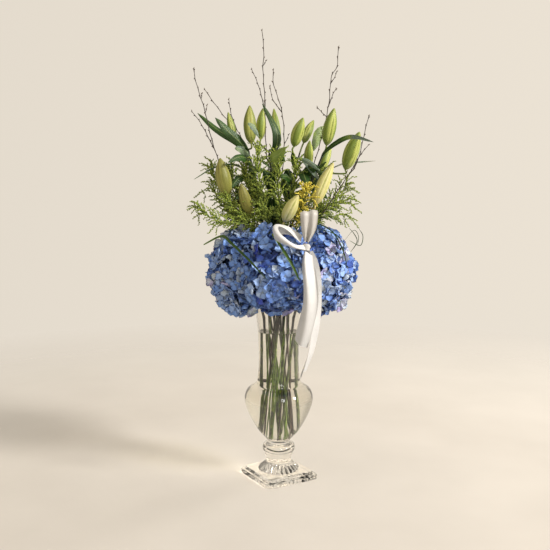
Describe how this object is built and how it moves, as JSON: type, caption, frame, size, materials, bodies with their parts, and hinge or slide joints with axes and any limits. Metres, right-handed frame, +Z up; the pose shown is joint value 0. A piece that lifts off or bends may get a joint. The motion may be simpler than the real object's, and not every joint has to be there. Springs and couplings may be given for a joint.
{
  "type": "hydrangeas in a vase",
  "caption": "Blue hydrangea heads with lily buds, goldenrod, birch twigs and grass blades in a clear footed glass vase of water, with a satin bow.",
  "frame": {"origin": "centre of the underside of the vase's square foot, on the vase's axis", "axes": "+Z up along the vase's axis; +Y away from the front, where the bow hangs; +X to the right seen from the front"},
  "size_m": [0.4026, 0.3369, 1.0011],
  "materials": {
    "glass": "clear, polished",
    "water": "clear liquid",
    "hydrangea_petal": "matte, soft petals",
    "woody_stem": "rough, dark",
    "green_stem": "smooth, waxy",
    "green_bud": "waxy, ribbed",
    "cream_bud": "waxy, ribbed",
    "lily_leaf": "waxy",
    "goldenrod_green": "matte, feathery",
    "goldenrod_flower": "matte, small florets",
    "birch_bark": "rough bark",
    "grass": "satin",
    "satin_ribbon": "satin weave"
  },
  "bodies": {
    "root": {"vase": "glass", "water": "water", "hydrangea_head_1": "hydrangea_petal", "hydrangea_stem_1": "woody_stem", "hydrangea_head_2": "hydrangea_petal", "hydrangea_stem_2": "woody_stem", "hydrangea_head_3": "hydrangea_petal", "hydrangea_stem_3": "woody_stem", "hydrangea_head_4": "hydrangea_petal", "hydrangea_stem_4": "woody_stem", "hydrangea_head_5": "hydrangea_petal", "hydrangea_stem_5": "woody_stem", "lily_stem_1": "green_stem", "lily_stem_2": "green_stem", "lily_stem_3": "green_stem", "lily_stem_4": "green_stem", "lily_bud_1": "green_bud", "lily_bud_2": "green_bud", "lily_bud_3": "green_bud", "lily_bud_4": "green_bud", "lily_bud_5": "green_bud", "lily_bud_6": "green_bud", "lily_bud_7": "green_bud", "lily_bud_8": "green_bud", "lily_bud_9": "green_bud", "lily_bud_10": "green_bud", "lily_bud_11": "cream_bud", "lily_bud_12": "cream_bud", "lily_bud_13": "green_bud", "lily_bud_14": "green_bud", "lily_leaf_1": "lily_leaf", "lily_leaf_2": "lily_leaf", "lily_leaf_3": "lily_leaf", "lily_leaf_4": "lily_leaf", "lily_leaf_5": "lily_leaf", "lily_leaf_6": "lily_leaf", "lily_leaf_7": "lily_leaf", "lily_leaf_8": "lily_leaf", "lily_leaf_9": "lily_leaf", "goldenrod_1": "goldenrod_green", "goldenrod_2": "goldenrod_green", "goldenrod_3": "goldenrod_green", "goldenrod_4": "goldenrod_green", "goldenrod_5": "goldenrod_flower", "goldenrod_6": "goldenrod_green", "birch_twig_1": "birch_bark", "birch_twig_2": "birch_bark", "birch_twig_3": "birch_bark", "birch_twig_4": "birch_bark", "birch_twig_5": "birch_bark", "birch_twig_6": "birch_bark", "grass_blade_1": "grass", "grass_blade_2": "grass", "grass_blade_3": "grass", "grass_blade_4": "grass", "ribbon_knot": "satin_ribbon", "ribbon_loop_upper": "satin_ribbon", "ribbon_loop_left": "satin_ribbon", "ribbon_tail_front": "satin_ribbon", "ribbon_tail_back": "satin_ribbon"}
  },
  "joints": []
}
